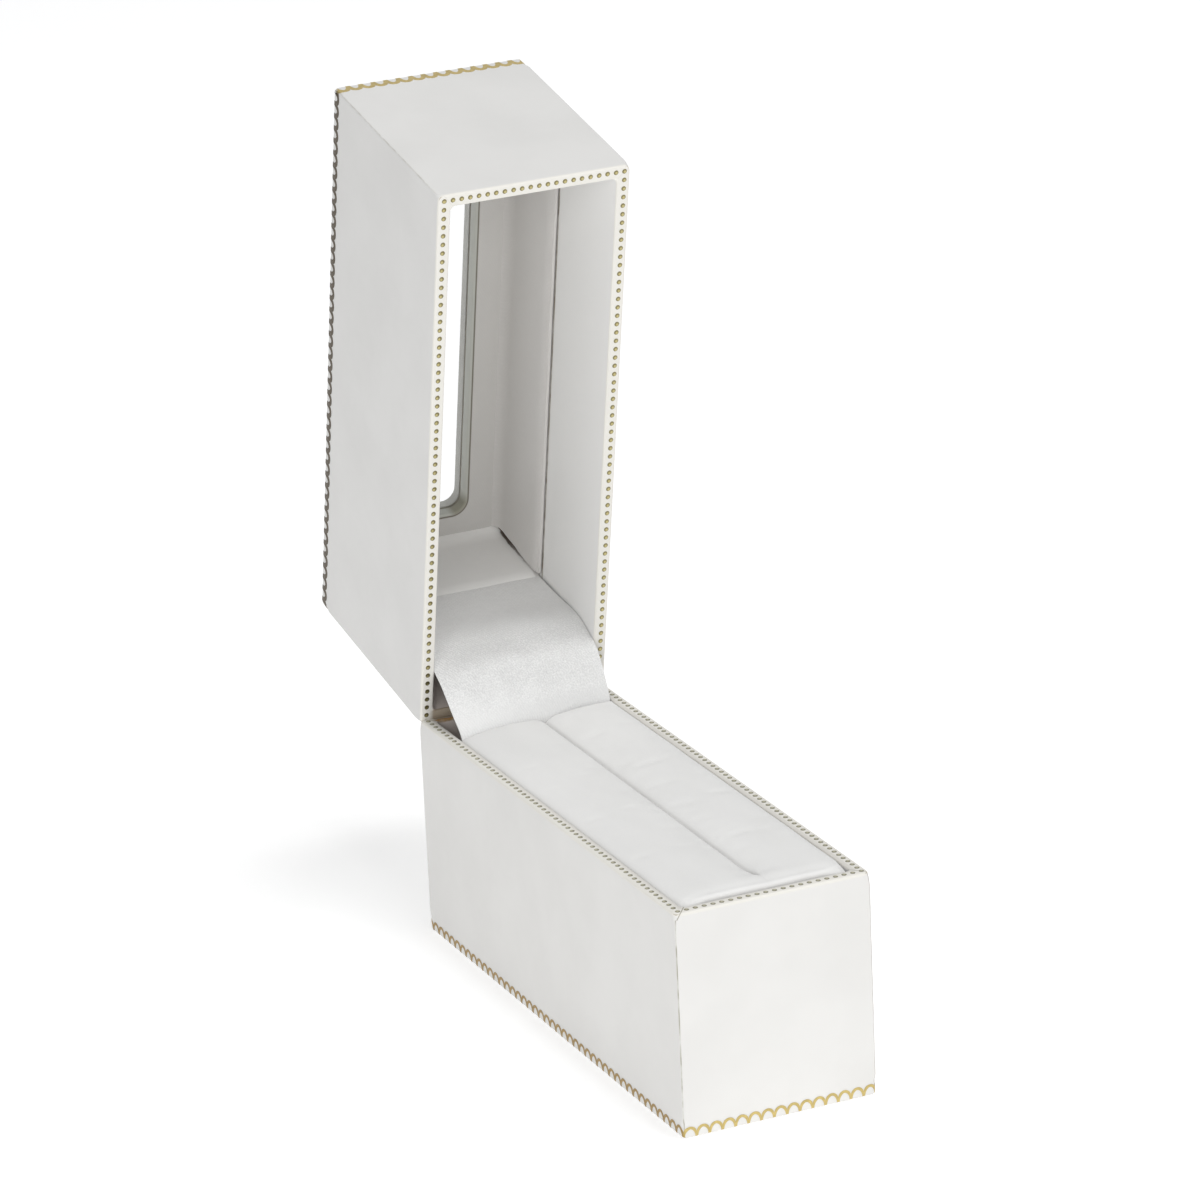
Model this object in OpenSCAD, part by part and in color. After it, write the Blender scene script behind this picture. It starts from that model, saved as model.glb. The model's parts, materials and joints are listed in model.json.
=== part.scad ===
// Hinged gift box for a bangle: tall narrow base with a slotted pad, deep lid with a window, drawn open.
// Millimetres. Origin at the middle of the underside, +Z up, +Y towards the hinge end, +X right from the front.
// The lid's pieces are drawn closed over the base, then lid_place() turns them open about the hinge pin.

/* [Outside] */
// Width across the two long sides
box_w = 35; // [32:0.5:60]
// Length from the front end to the hinge end
box_l = 102; // [90:1:180]
// Height of the base up to its rim
base_h = 39.4; // [36:0.2:70]
// Height of the lid from its rim to its top
lid_h = 44.2; // [40:0.2:80]
// Angle that the lid opens to, from closed, in degrees
open_angle = 78.3; // [60:0.1:88]

/* [Board and covering] */
// Thickness of the moulded board of base and lid
shell_t = 2; // [1.5:0.1:3]
// Thickness of the covering paper
wrap_t = 0.15; // [0.1:0.05:0.3]
// How far the covering turns down inside the base
base_turn_in = 14; // [8:1:20]
// How far the covering turns in under the base
under_turn_in = 6; // [4:1:10]
// Radius of the upright corners
corner_r = 0.9; // [0.5:0.1:1.2]
// Thickness of the loose sheet glued under the base
sheet_t = 0.2; // [0.1:0.05:0.4]
// Gap between the two rims when the box is shut
rim_gap = 0.14; // [0.12:0.02:0.3]

/* [Window and linings] */
// Width of the window
window_w = 15.6; // [12:0.2:20]
// Length of the window
window_l = 68.8; // [50:0.2:80]
// Corner radius of the window
window_r = 2.5; // [1:0.1:4]
// Thickness of the clear pane
pane_t = 0.5; // [0.3:0.1:0.8]
// Margin of the pane hidden round the window
pane_margin = 3; // [2:0.5:4]
// Thickness of the padded lining under the lid's top
top_lining_t = 2.1; // [1:0.1:3]
// Thickness of the lining cards on the lid's walls
wall_lining_t = 1; // [0.6:0.1:1.4]
// Distance from the lid's rim to the front edge of the linings
lining_from_rim = 22; // [16:0.5:26]
// Distance of the lining over the hinge from the lid's end face
hinge_lining_off = 11.4; // [9:0.2:14]

/* [Pad] */
// How far the pad's two rolls stand above the rim
pad_proud = 0.35; // [0:0.05:2]
// Height of each roll's crown over its edges
pad_crown = 1.3; // [0.8:0.1:2.4]
// Height of the foam
pad_h = 16; // [10:0.5:22]
// Thickness of the velvet
velvet_t = 0.3; // [0.2:0.05:0.5]
// Width of the slit cut in the foam
slit_w = 1.2; // [0.8:0.1:2]
// Depth of the slit
slit_h = 11; // [6:0.5:14]
// Length of foam left uncut at the front
slit_end = 6; // [4:0.5:10]
// Free width between pad and side wall
pad_side_gap = 0.15; // [0.1:0.05:0.5]
// Free length in front of the pad
pad_front_gap = 0.8; // [0.4:0.1:2]
// Free length behind the pad, where the flap tucks in
pad_back_gap = 8.7; // [6:0.1:11]
// Thickness of the pad's boards
board_t = 1.2; // [0.8:0.1:1.6]

/* [Hinge] */
// Distance of the pin from the outer face of the hinge end
pin_inset = 0.9; // [0.9:0.05:1.4]
// Radius of the pin
pin_r = 0.4; // [0.3:0.05:0.5]
// Outer radius of the knuckles
knuckle_r = 0.8; // [0.75:0.05:0.9]
// Width of the whole hinge
hinge_w = 16; // [12:0.5:20]
// Thickness of the steel leaves
leaf_t = 0.4; // [0.3:0.05:0.5]
// Length of each leaf from the pin
leaf_h = 9.5; // [7:0.5:12]
// Radius of the rivet shanks
rivet_r = 0.6; // [0.4:0.05:0.8]
// Thickness of the flat spring
spring_t = 0.25; // [0.15:0.05:0.4]

/* [Satin flap] */
// Thickness of the flap
flap_t = 0.3; // [0.2:0.05:0.5]
// Radius of the bend where the flap arches down to the pad
flap_bend_r = 15; // [10:0.2:16]
// How far the flap tucks down behind the pad
flap_tuck = 9; // [5:0.5:14]
// How far the flap runs in under the lining over the hinge
flap_under = 5; // [2:0.5:8]

/* [Gold foil] */
// Thickness of the foil
foil_t = 0.04; // [0.02:0.01:0.05]
// Radius of the rim dots
dot_r = 0.43; // [0.3:0.01:0.5]
// Distance of the row of dots from the outer face
dot_inset = 1.05; // [0.9:0.05:1.3]
// Spacing of the dots, as near as a whole number allows
dot_pitch = 1.6; // [1.4:0.02:2]
// Distance of the last dot from the hinge end
dot_last = 1.75; // [1.6:0.05:3]
// Spacing of the scallops, as near as a whole number allows
scallop_pitch = 2.33; // [2:0.01:3]
// Height of the scallops
scallop_h = 2; // [1.4:0.05:2.4]
// Width of the scallop line
scallop_line = 0.4; // [0.3:0.05:0.7]
// Height of the filled feet between scallops
scallop_foot = 0.85; // [0.2:0.05:1]

/* [Hidden] */

rim = shell_t + 2 * wrap_t;
half_w = box_w / 2;
half_l = box_l / 2;
inner_w = box_w - 2 * rim;
inner_half_l = half_l - rim;
shell_in_w = box_w - 2 * (shell_t + wrap_t);
shell_in_half_l = half_l - shell_t - wrap_t;
lid_rim_z = base_h + rim_gap;
lid_top_z = lid_rim_z + lid_h;
tray_z = sheet_t + wrap_t;
tray_floor_z = tray_z + shell_t;
cut = 1;

pin_y = half_l - pin_inset;
pin_z = base_h + rim_gap / 2;
bevel_angle = open_angle / 2 + 0.6;
pin_clearance = 0.05;
pin_press = 0.01;
knuckle_gap = 0.12;
knuckle_count = 5;
knuckle_w = hinge_w / knuckle_count;
notch_r = knuckle_r + 0.2;
notch_w = hinge_w + 0.4;
leaf_gap = 0.05;
leaf_y = inner_half_l - leaf_gap - leaf_t;
rivet_head_r = 1.1;
rivet_head_t = 0.4;
rivet_depth = 1.1;
rivet_x = 3.2;
base_rivet_z = pin_z - 7.6;
lid_rivet_z = pin_z + 6.2;
spring_y = leaf_y - leaf_gap - spring_t;
spring_bar_w = 9.6;
spring_bar_h = 2.6;
prong_w = 2;
prong_top_z = pin_z - 1.3;

panel_under_z = lid_top_z - wrap_t - shell_t;
pane_z = panel_under_z - pane_t;
top_lining_z = pane_z - top_lining_t;
lining_front_z = lid_rim_z + lining_from_rim;
lid_turn_in = lining_from_rim + 1;
fit_gap = 0.1;
lining_w = shell_in_w - 2 * wrap_t - 2 * fit_gap;
lining_front_y = -inner_half_l + fit_gap;
hinge_lining_y = half_l - hinge_lining_off;
block_from_rim = lining_from_rim + 2;

pad_w = inner_w - 2 * pad_side_gap;
pad_front_y = -inner_half_l + pad_front_gap;
pad_back_y = inner_half_l - pad_back_gap;
pad_top_z = base_h + pad_proud;
pad_low_z = pad_top_z - pad_h;
roll_w = pad_w / 2;
roll_r = (roll_w * roll_w / 4 + pad_crown * pad_crown) / (2 * pad_crown);
velvet_low_z = pad_low_z + 3;
slit_open_w = 0.5;

flap_w = inner_w - 0.8;
flap_y = pad_back_y + 0.15;
flap_under_off = hinge_lining_off - wall_lining_t - fit_gap - pin_inset;

dots_across = round((box_w - 2 * dot_inset) / dot_pitch);
across_pitch = (box_w - 2 * dot_inset) / dots_across;
along_len = box_l - dot_inset - dot_last;
dots_along = round(along_len / dot_pitch);
along_pitch = along_len / dots_along;
foil_facets = 6;
arc_steps = 5;
flap_steps = 24;
round_facets = 48;

function direction_y(u, v) = pin_y - u * cos(open_angle) + v * sin(open_angle);
function direction_z(u, v) = pin_z + u * sin(open_angle) + v * cos(open_angle);

// A box centred on x, from y0 to y1 and z0 to z1.
module block(w, y0, y1, z0, z1) {
    translate([-w / 2, y0, z0])
        cube([w, y1 - y0, z1 - z0]);
}

// An upright box centred on the origin with round vertical corners.
module round_block(w, l, z0, z1, r) {
    block(w - 2 * r, -l / 2, l / 2, z0, z1);
    block(w, -l / 2 + r, l / 2 - r, z0, z1);
    for (sx = [-1, 1], sy = [-1, 1])
        translate([sx * (w / 2 - r), sy * (l / 2 - r), z0])
            cylinder(r = r, h = z1 - z0, $fn = round_facets);
}

module window_cut(z0, z1) {
    round_block(window_w, window_l, z0, z1, window_r);
}

// Turns the closed lid open about the pin.
module lid_place() {
    translate([0, pin_y, pin_z])
        rotate([-open_angle, 0, 0])
            translate([0, -pin_y, -pin_z])
                children();
}

// The wedge cut off the hinge end's edge, above the pin for the base (side 1) or below it for the lid (-1).
module bevel_cut(side) {
    drop = tan(bevel_angle) * 2 * pin_inset;
    translate([-half_w - cut, pin_y, pin_z])
        rotate([90, 0, 90])
            linear_extrude(height = box_w + 2 * cut)
                polygon([[0, 0], [2 * pin_inset, -side * drop], [2 * pin_inset, side * cut], [0, side * cut]]);
}

module along_x(y, z) {
    translate([0, y, z])
        rotate([0, 90, 0])
            children();
}

// Room in the hinge end's wall for the knuckles, and for the strips that join them to their leaf.
module hinge_notch() {
    along_x(pin_y, pin_z)
        cylinder(r = notch_r, h = notch_w, center = true, $fn = round_facets);
    block(notch_w, inner_half_l - cut, pin_y, pin_z - notch_r, pin_z + notch_r);
}

module rivet_holes(z, r) {
    for (s = [-1, 1])
        translate([s * rivet_x, leaf_y - cut, z])
            rotate([-90, 0, 0])
                cylinder(r = r, h = leaf_t + rivet_depth + 2 * cut, $fn = round_facets);
}

// One rivet: a round head on the inside and a shank into the board.
module rivet(x, z, head_y) {
    translate([x, head_y - rivet_head_t, z])
        rotate([-90, 0, 0]) {
            cylinder(r = rivet_head_r, h = rivet_head_t, $fn = round_facets);
            cylinder(r = rivet_r, h = inner_half_l + rivet_depth - head_y + rivet_head_t, $fn = round_facets);
        }
}

module base_tray() {
    color([0.72, 0.68, 0.6])
        difference() {
            round_block(box_w - 2 * wrap_t, box_l - 2 * wrap_t, tray_z, base_h - wrap_t, corner_r - wrap_t);
            block(shell_in_w, -shell_in_half_l, shell_in_half_l, tray_floor_z, base_h);
            bevel_cut(1);
            hinge_notch();
            rivet_holes(base_rivet_z, rivet_r + pin_press);
        }
}

// The covering paper: outer faces, over the rim, down inside and in under the floor.
module base_wrap() {
    color([0.93, 0.93, 0.92])
        difference() {
            round_block(box_w, box_l, sheet_t, base_h, corner_r);
            difference() {
                round_block(box_w - 2 * wrap_t, box_l - 2 * wrap_t, tray_z, base_h - wrap_t, corner_r - wrap_t);
                block(shell_in_w, -shell_in_half_l, shell_in_half_l, base_h - base_turn_in, base_h);
            }
            block(inner_w, -inner_half_l, inner_half_l, base_h - base_turn_in - cut, base_h + cut);
            round_block(box_w - 2 * under_turn_in, box_l - 2 * under_turn_in, 0, cut, corner_r);
            bevel_cut(1);
            hinge_notch();
            rivet_holes(base_rivet_z, rivet_r + pin_press);
        }
}

module base_bottom_sheet() {
    color([0.9, 0.9, 0.89])
        round_block(box_w - 2, box_l - 2, 0, sheet_t, corner_r);
}

// A row of foil dots down both long sides and across the front, on a rim facing up (side 1) or down (-1).
module rim_dots(z) {
    module dot(x, y) {
        translate([x, y, z])
            cylinder(r = dot_r, h = foil_t, $fn = foil_facets);
    }
    for (s = [-1, 1], i = [0:dots_along])
        dot(s * (half_w - dot_inset), -half_l + dot_inset + i * along_pitch);
    for (i = [1:dots_across - 1])
        dot(-half_w + dot_inset + i * across_pitch, -half_l + dot_inset);
}

// The scalloped line for one side, as a flat band with its feet on y = 0.
module scallop_band(len) {
    count = round(len / scallop_pitch);
    pitch = len / count;
    low = pitch / 2 - scallop_foot * 0.3;
    outer = [
        for (i = [0:count - 1], k = [0:arc_steps])
            let (t = 180 - 180 * k / arc_steps)
                [(i + 0.5) * pitch + pitch / 2 * cos(t), scallop_foot + (scallop_h - scallop_foot) * sin(t)]
    ];
    inner = [
        for (i = [count - 1:-1:0], k = [0:arc_steps])
            let (t = 180 * k / arc_steps)
                [(i + 0.5) * pitch + low * cos(t), (scallop_h - scallop_line) * sin(t)]
    ];
    // the outer arcs share their feet, so each arc's first point but one is dropped
    shared = [for (i = [0:len(outer) - 1]) if (i == 0 || i % (arc_steps + 1) != 0) outer[i]];
    polygon(concat([[0, 0]], shared, [[count * pitch, 0]], inner));
}

// Scallops on the four outer faces, standing up from the plane z0.
module scallops(z0) {
    reach = corner_r + 0.1;
    long_l = box_l - 2 * reach;
    short_l = box_w - 2 * reach;
    for (s = [0, 1])
        rotate([0, 0, 180 * s]) {
            translate([-short_l / 2, -half_l, z0])
                rotate([90, 0, 0])
                    linear_extrude(height = foil_t)
                        scallop_band(short_l);
            translate([half_w, -long_l / 2, z0])
                rotate([90, 0, 90])
                    linear_extrude(height = foil_t)
                        scallop_band(long_l);
        }
}

module base_rim_dots() {
    color([0.72, 0.6, 0.25])
        rim_dots(base_h);
}

module base_scallops() {
    color([0.72, 0.6, 0.25])
        scallops(sheet_t + 0.1);
}

// The folded card stand that carries the pad: a top and two legs.
module pad_riser() {
    top = pad_low_z - board_t;
    foot_l = 6;
    color([0.78, 0.74, 0.66])
        union() {
            block(pad_w - 1, pad_front_y, pad_back_y, top - board_t, top);
            for (s = [-1, 1])
                translate([0, (pad_front_y + pad_back_y) / 2, 0])
                    scale([1, s, 1]) {
                        outer = (pad_back_y - pad_front_y) / 2;
                        block(pad_w - 1, outer - board_t, outer, tray_floor_z, top);
                        block(pad_w - 1, outer - foot_l, outer, tray_floor_z, tray_floor_z + board_t);
                    }
        }
}

module pad_board() {
    color([0.78, 0.74, 0.66])
        block(pad_w - 0.6, pad_front_y, pad_back_y, pad_low_z - board_t, pad_low_z);
}

// Two crowned rolls side by side, shrunk all round by inset.
module rolls(inset, z0) {
    for (s = [-1, 1])
        intersection() {
            translate([s * roll_w / 2 - roll_w / 2 + (s < 0 ? inset : 0), pad_front_y + inset, z0])
                cube([roll_w - inset, pad_back_y - pad_front_y - 2 * inset, pad_top_z - z0]);
            translate([s * roll_w / 2, 0, pad_top_z - roll_r])
                rotate([90, 0, 0])
                    cylinder(r = roll_r - inset, h = box_l, center = true, $fn = 96);
        }
}

module slit_block(w) {
    block(w, pad_front_y + slit_end, half_l, pad_top_z - slit_h, pad_top_z + cut);
}

module pad_foam() {
    color([0.9, 0.88, 0.8])
        difference() {
            rolls(velvet_t, pad_low_z);
            slit_block(slit_w);
        }
}

// The velvet: over the rolls, down the sides and into the slit.
module pad_cover() {
    color([0.95, 0.95, 0.94])
        difference() {
            rolls(0, velvet_low_z);
            difference() {
                rolls(velvet_t, velvet_low_z - cut);
                slit_block(slit_w);
            }
            translate([0, 0, velvet_t])
                slit_block(slit_open_w);
        }
}

// A hinge leaf, with every second knuckle from the first; side is 1 for the base's and -1 for the lid's.
module leaf(side, first, bore_r, rivet_z) {
    lower = side > 0 ? pin_z - leaf_h : pin_z + knuckle_r - leaf_t;
    upper = side > 0 ? pin_z - knuckle_r + leaf_t : pin_z + leaf_h;
    strip_z = side > 0 ? pin_z - knuckle_r : pin_z + knuckle_r - leaf_t;
    difference() {
        union() {
            block(hinge_w - 0.4, leaf_y, leaf_y + leaf_t, lower, upper);
            for (i = [first:2:knuckle_count - 1])
                translate([-hinge_w / 2 + (i + 0.5) * knuckle_w, 0, 0]) {
                    along_x(pin_y, pin_z)
                        cylinder(r = knuckle_r, h = knuckle_w - knuckle_gap, center = true, $fn = round_facets);
                    block(knuckle_w - knuckle_gap, leaf_y, pin_y, strip_z, strip_z + leaf_t);
                }
        }
        along_x(pin_y, pin_z)
            cylinder(r = bore_r, h = hinge_w + 2 * cut, center = true, $fn = round_facets);
        rivet_holes(rivet_z, rivet_r + pin_press);
    }
}

module hinge_base_leaf() {
    color([0.7, 0.7, 0.72])
        leaf(1, 0, pin_r + pin_press, base_rivet_z);
}

module hinge_pin() {
    color([0.65, 0.65, 0.67])
        along_x(pin_y, pin_z)
            cylinder(r = pin_r, h = hinge_w, center = true, $fn = round_facets);
}

// A flat spring: a riveted bar with two prongs that reach up to the lid's knuckles.
module hinge_spring() {
    bar_low = base_rivet_z - spring_bar_h / 2;
    color([0.6, 0.6, 0.64])
        difference() {
            union() {
                block(spring_bar_w, spring_y, spring_y + spring_t, bar_low, bar_low + spring_bar_h);
                for (s = [-1, 1])
                    translate([s * knuckle_w, 0, 0])
                        block(prong_w, spring_y, spring_y + spring_t, bar_low, prong_top_z);
            }
            rivet_holes(base_rivet_z, rivet_r + pin_press);
        }
}

module base_hinge_rivets() {
    color([0.75, 0.66, 0.4])
        for (s = [-1, 1])
            rivet(s * rivet_x, base_rivet_z, spring_y);
}

module lid_shell() {
    color([0.72, 0.68, 0.6])
        lid_place()
            difference() {
                round_block(
                    box_w - 2 * wrap_t, box_l - 2 * wrap_t, lid_rim_z + wrap_t, lid_top_z - wrap_t,
                    corner_r - wrap_t
                );
                block(shell_in_w, -shell_in_half_l, shell_in_half_l, lid_rim_z, panel_under_z);
                window_cut(panel_under_z - cut, lid_top_z);
                bevel_cut(-1);
                hinge_notch();
                rivet_holes(lid_rivet_z, rivet_r + pin_press);
            }
}

// The covering paper: outer faces with the window cut out, over the rim and in as far as the linings.
module lid_wrap() {
    color([0.93, 0.93, 0.92])
        lid_place()
            difference() {
                round_block(box_w, box_l, lid_rim_z, lid_top_z, corner_r);
                difference() {
                    round_block(
                        box_w - 2 * wrap_t, box_l - 2 * wrap_t, lid_rim_z + wrap_t, lid_top_z - wrap_t,
                        corner_r - wrap_t
                    );
                    block(shell_in_w, -shell_in_half_l, shell_in_half_l, lid_rim_z, lid_rim_z + lid_turn_in);
                }
                block(inner_w, -inner_half_l, inner_half_l, lid_rim_z - cut, lid_rim_z + lid_turn_in + cut);
                window_cut(panel_under_z, lid_top_z + cut);
                bevel_cut(-1);
                hinge_notch();
                rivet_holes(lid_rivet_z, rivet_r + pin_press);
            }
}

module lid_rim_dots() {
    color([0.72, 0.6, 0.25])
        lid_place()
            rim_dots(lid_rim_z - foil_t);
}

module lid_scallops() {
    color([0.72, 0.6, 0.25])
        lid_place()
            translate([0, 0, lid_top_z - 0.1])
                mirror([0, 0, 1])
                    scallops(0);
}

module window_pane() {
    color([0.85, 0.9, 0.9, 0.35])
        lid_place()
            block(
                window_w + 2 * pane_margin, -window_l / 2 - pane_margin, window_l / 2 + pane_margin,
                pane_z, panel_under_z
            );
}

// The satin-covered card under the lid's top, cut out for the window.
module lid_top_lining() {
    color([0.9, 0.89, 0.86])
        lid_place()
            difference() {
                block(lining_w, lining_front_y, hinge_lining_y, top_lining_z, pane_z);
                window_cut(top_lining_z - cut, pane_z + cut);
            }
}

module wall_lining(side) {
    lid_place()
        translate([side * (lining_w - wall_lining_t) / 2, 0, 0])
            block(wall_lining_t, lining_front_y + wall_lining_t, hinge_lining_y, lining_front_z, top_lining_z);
}

module lid_lining_left() {
    color([0.9, 0.89, 0.86])
        wall_lining(-1);
}

module lid_lining_right() {
    color([0.9, 0.89, 0.86])
        wall_lining(1);
}

module lid_lining_front() {
    color([0.9, 0.89, 0.86])
        lid_place()
            block(lining_w, lining_front_y, lining_front_y + wall_lining_t, lining_front_z, top_lining_z);
}

// The lining that stands off the hinge end, over the packing block.
module lid_lining_hinge() {
    color([0.9, 0.89, 0.86])
        lid_place()
            block(lining_w, hinge_lining_y, hinge_lining_y + wall_lining_t, lining_front_z, pane_z);
}

module lid_hinge_block() {
    near = hinge_lining_y + wall_lining_t + flap_t + 3 * fit_gap;
    color([0.78, 0.74, 0.66])
        lid_place()
            block(lining_w, near, inner_half_l - fit_gap, lid_rim_z + block_from_rim, pane_z - fit_gap);
}

module hinge_lid_leaf() {
    color([0.7, 0.7, 0.72])
        lid_place()
            leaf(-1, 1, pin_r + pin_clearance, lid_rivet_z);
}

module lid_hinge_rivets() {
    color([0.75, 0.66, 0.4])
        lid_place()
            for (s = [-1, 1])
                rivet(s * rivet_x, lid_rivet_z, leaf_y);
}

// The satin flap: up behind the pad, round the bend, and in under the lining over the hinge.
module satin_flap() {
    run_from = flap_bend_r * tan(open_angle / 2);
    // where the line of the lining meets the upright behind the pad
    v_meet = (flap_y - direction_y(flap_under_off, 0)) / sin(open_angle);
    bend_z = direction_z(flap_under_off, v_meet) - run_from;
    run_l = lining_from_rim + flap_under - v_meet - run_from;
    // the flap's line at radius r of the bend, as (y, z) points from the tucked end to the end in the lid
    function line(r) = concat(
        [[flap_bend_r - r, base_h - flap_tuck]],
        [
            for (k = [0:flap_steps])
                let (t = open_angle * k / flap_steps)
                    [flap_bend_r - r * cos(t), bend_z + r * sin(t)]
        ],
        [[
            flap_bend_r - r * cos(open_angle) + run_l * sin(open_angle),
            bend_z + r * sin(open_angle) + run_l * cos(open_angle)
        ]]
    );
    back = line(flap_bend_r - flap_t);
    color([0.94, 0.94, 0.93])
        translate([-flap_w / 2, flap_y, 0])
            rotate([90, 0, 90])
                linear_extrude(height = flap_w)
                    polygon(concat(line(flap_bend_r), [for (k = [len(back) - 1:-1:0]) back[k]]));
}

base_tray();
base_wrap();
base_bottom_sheet();
base_rim_dots();
base_scallops();
pad_riser();
pad_board();
pad_foam();
pad_cover();
hinge_base_leaf();
hinge_pin();
hinge_spring();
base_hinge_rivets();
lid_shell();
lid_wrap();
lid_rim_dots();
lid_scallops();
window_pane();
lid_top_lining();
lid_lining_left();
lid_lining_right();
lid_lining_front();
lid_lining_hinge();
lid_hinge_block();
hinge_lid_leaf();
lid_hinge_rivets();
satin_flap();
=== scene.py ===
import json
from math import cos, hypot, pi, radians, sin, sqrt, tan

import bmesh
import bpy
from mathutils import Matrix, Vector, noise

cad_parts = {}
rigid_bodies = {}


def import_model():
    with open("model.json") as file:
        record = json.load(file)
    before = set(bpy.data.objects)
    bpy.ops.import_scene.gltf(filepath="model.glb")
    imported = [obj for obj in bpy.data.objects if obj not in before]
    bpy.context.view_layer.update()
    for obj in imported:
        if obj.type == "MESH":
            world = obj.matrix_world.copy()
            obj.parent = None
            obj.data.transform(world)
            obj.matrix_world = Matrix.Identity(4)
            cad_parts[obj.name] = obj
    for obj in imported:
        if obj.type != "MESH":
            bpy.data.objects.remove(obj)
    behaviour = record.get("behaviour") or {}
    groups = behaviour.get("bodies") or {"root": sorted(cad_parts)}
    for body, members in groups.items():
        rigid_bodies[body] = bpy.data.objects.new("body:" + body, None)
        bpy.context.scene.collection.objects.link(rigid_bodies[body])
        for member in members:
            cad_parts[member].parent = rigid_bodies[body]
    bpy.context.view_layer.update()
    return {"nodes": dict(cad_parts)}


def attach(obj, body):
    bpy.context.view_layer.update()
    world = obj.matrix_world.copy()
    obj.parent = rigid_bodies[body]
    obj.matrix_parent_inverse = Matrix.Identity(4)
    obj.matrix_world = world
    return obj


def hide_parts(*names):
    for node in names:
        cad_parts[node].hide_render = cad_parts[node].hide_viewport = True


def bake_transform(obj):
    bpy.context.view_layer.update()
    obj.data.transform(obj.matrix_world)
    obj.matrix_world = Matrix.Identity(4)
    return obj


for leftover in list(bpy.data.objects):
    bpy.data.objects.remove(leftover)
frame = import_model()

# ---- sizes in millimetres, the same as in the part's source ----
MM = 0.001
BOX_W, BOX_L, BASE_H, LID_H = 35.0, 102.0, 39.4, 44.2
RIM, PAPER = 2.3, 0.15
RIM_GAP = 0.14
PIN = Vector((0, 50.1, 39.47))
OPEN_ANGLE = 78.3
# radii of the upright corners: inside the rim, outside at the rim, and as they widen towards it, each as
# (distance from the rim, radius)
RIM_CORNER_R = 1.0
CORNER_TOP_R = 1.2
CORNER_EASE = ((2.6, 0.35), (1.7, 0.5), (0.9, 0.85))
# the closed end's corner and edge radii, and how its corners narrow, as (distance from the closed end, radius)
END_CORNER_R, END_EDGE_R = 0.9, 0.45
END_EASE = ((2.6, 0.9), (3.0, 0.55), (3.6, 0.35))
HALF_W, HALF_L = BOX_W / 2, BOX_L / 2
IN_W, IN_L = HALF_W - RIM, HALF_L - RIM
LID_RIM_Z = BASE_H + RIM_GAP
LID_TOP_Z = LID_RIM_Z + LID_H
WINDOW_W, WINDOW_L, WINDOW_R = 15.6, 68.8, 2.5
PANE_Z, PANE_T = LID_TOP_Z - 2.65, 0.5
TOP_LINING_Z = PANE_Z - 2.1
LINING_T = 1.0
# the lining cards' rounded edge, the size of their cells, and the radius of the cove under the lid's top
LINING_EDGE_R, LINING_CELL, COVE_R = 0.42, 1.3, 2.6
LINING_W = IN_W - 0.1
LINING_FRONT = -IN_L + 0.1
# the linings' open edge, and the face of the lining that stands off the hinge end
LINING_Z = LID_RIM_Z + 22
HINGE_LINING_Y = HALF_L - 11.4
PAD_HALF_W, PAD_FRONT, PAD_BACK, PAD_TOP, PAD_LOW = 15.12, -48.35, 40.0, 40.25, 27.3
# how far the pad's back corners are out of square, and where the slit lies across the pad at either end
PAD_SKEW = 1.7
SLIT_FRONT, SLIT_BACK = 0.9, 1.2
DOT_INSET, DOTS_ACROSS, DOTS_ALONG = 1.05, 21, 62
DOT_STEP_W = (BOX_W - 2 * DOT_INSET) / DOTS_ACROSS
DOT_STEP_L = (BOX_L - DOT_INSET - 1.75) / DOTS_ALONG
# the underside of the base's covering, and where the base's scallops stand
FOOT_Z = 0.2
FLAP_HALF_W, FLAP_T = 14.8, 0.28

LID = (
    Matrix.Translation(PIN * MM)
    @ Matrix.Rotation(radians(-OPEN_ANGLE), 4, "X")
    @ Matrix.Translation(-PIN * MM)
)


# ---- mesh helpers; all of them work in millimetres ----
def smooth_step(a, b, x):
    t = min(1.0, max(0.0, (x - a) / (b - a)))
    return t * t * (3 - 2 * t)


def mesh_object(name, points, faces):
    """A new object from points in millimetres, with its faces turned outwards."""
    mesh = bpy.data.meshes.new(name)
    mesh.from_pydata([tuple(p) for p in points], [], faces)
    bm = bmesh.new()
    bm.from_mesh(mesh)
    bmesh.ops.remove_doubles(bm, verts=bm.verts, dist=0.0005)
    bmesh.ops.recalc_face_normals(bm, faces=bm.faces)
    bm.to_mesh(mesh)
    bm.free()
    obj = bpy.data.objects.new(name, mesh)
    bpy.context.scene.collection.objects.link(obj)
    return obj


def apply_modifiers(obj):
    depsgraph = bpy.context.evaluated_depsgraph_get()
    mesh = bpy.data.meshes.new_from_object(obj.evaluated_get(depsgraph))
    old = obj.data
    obj.modifiers.clear()
    obj.data = mesh
    bpy.data.meshes.remove(old)


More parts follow.
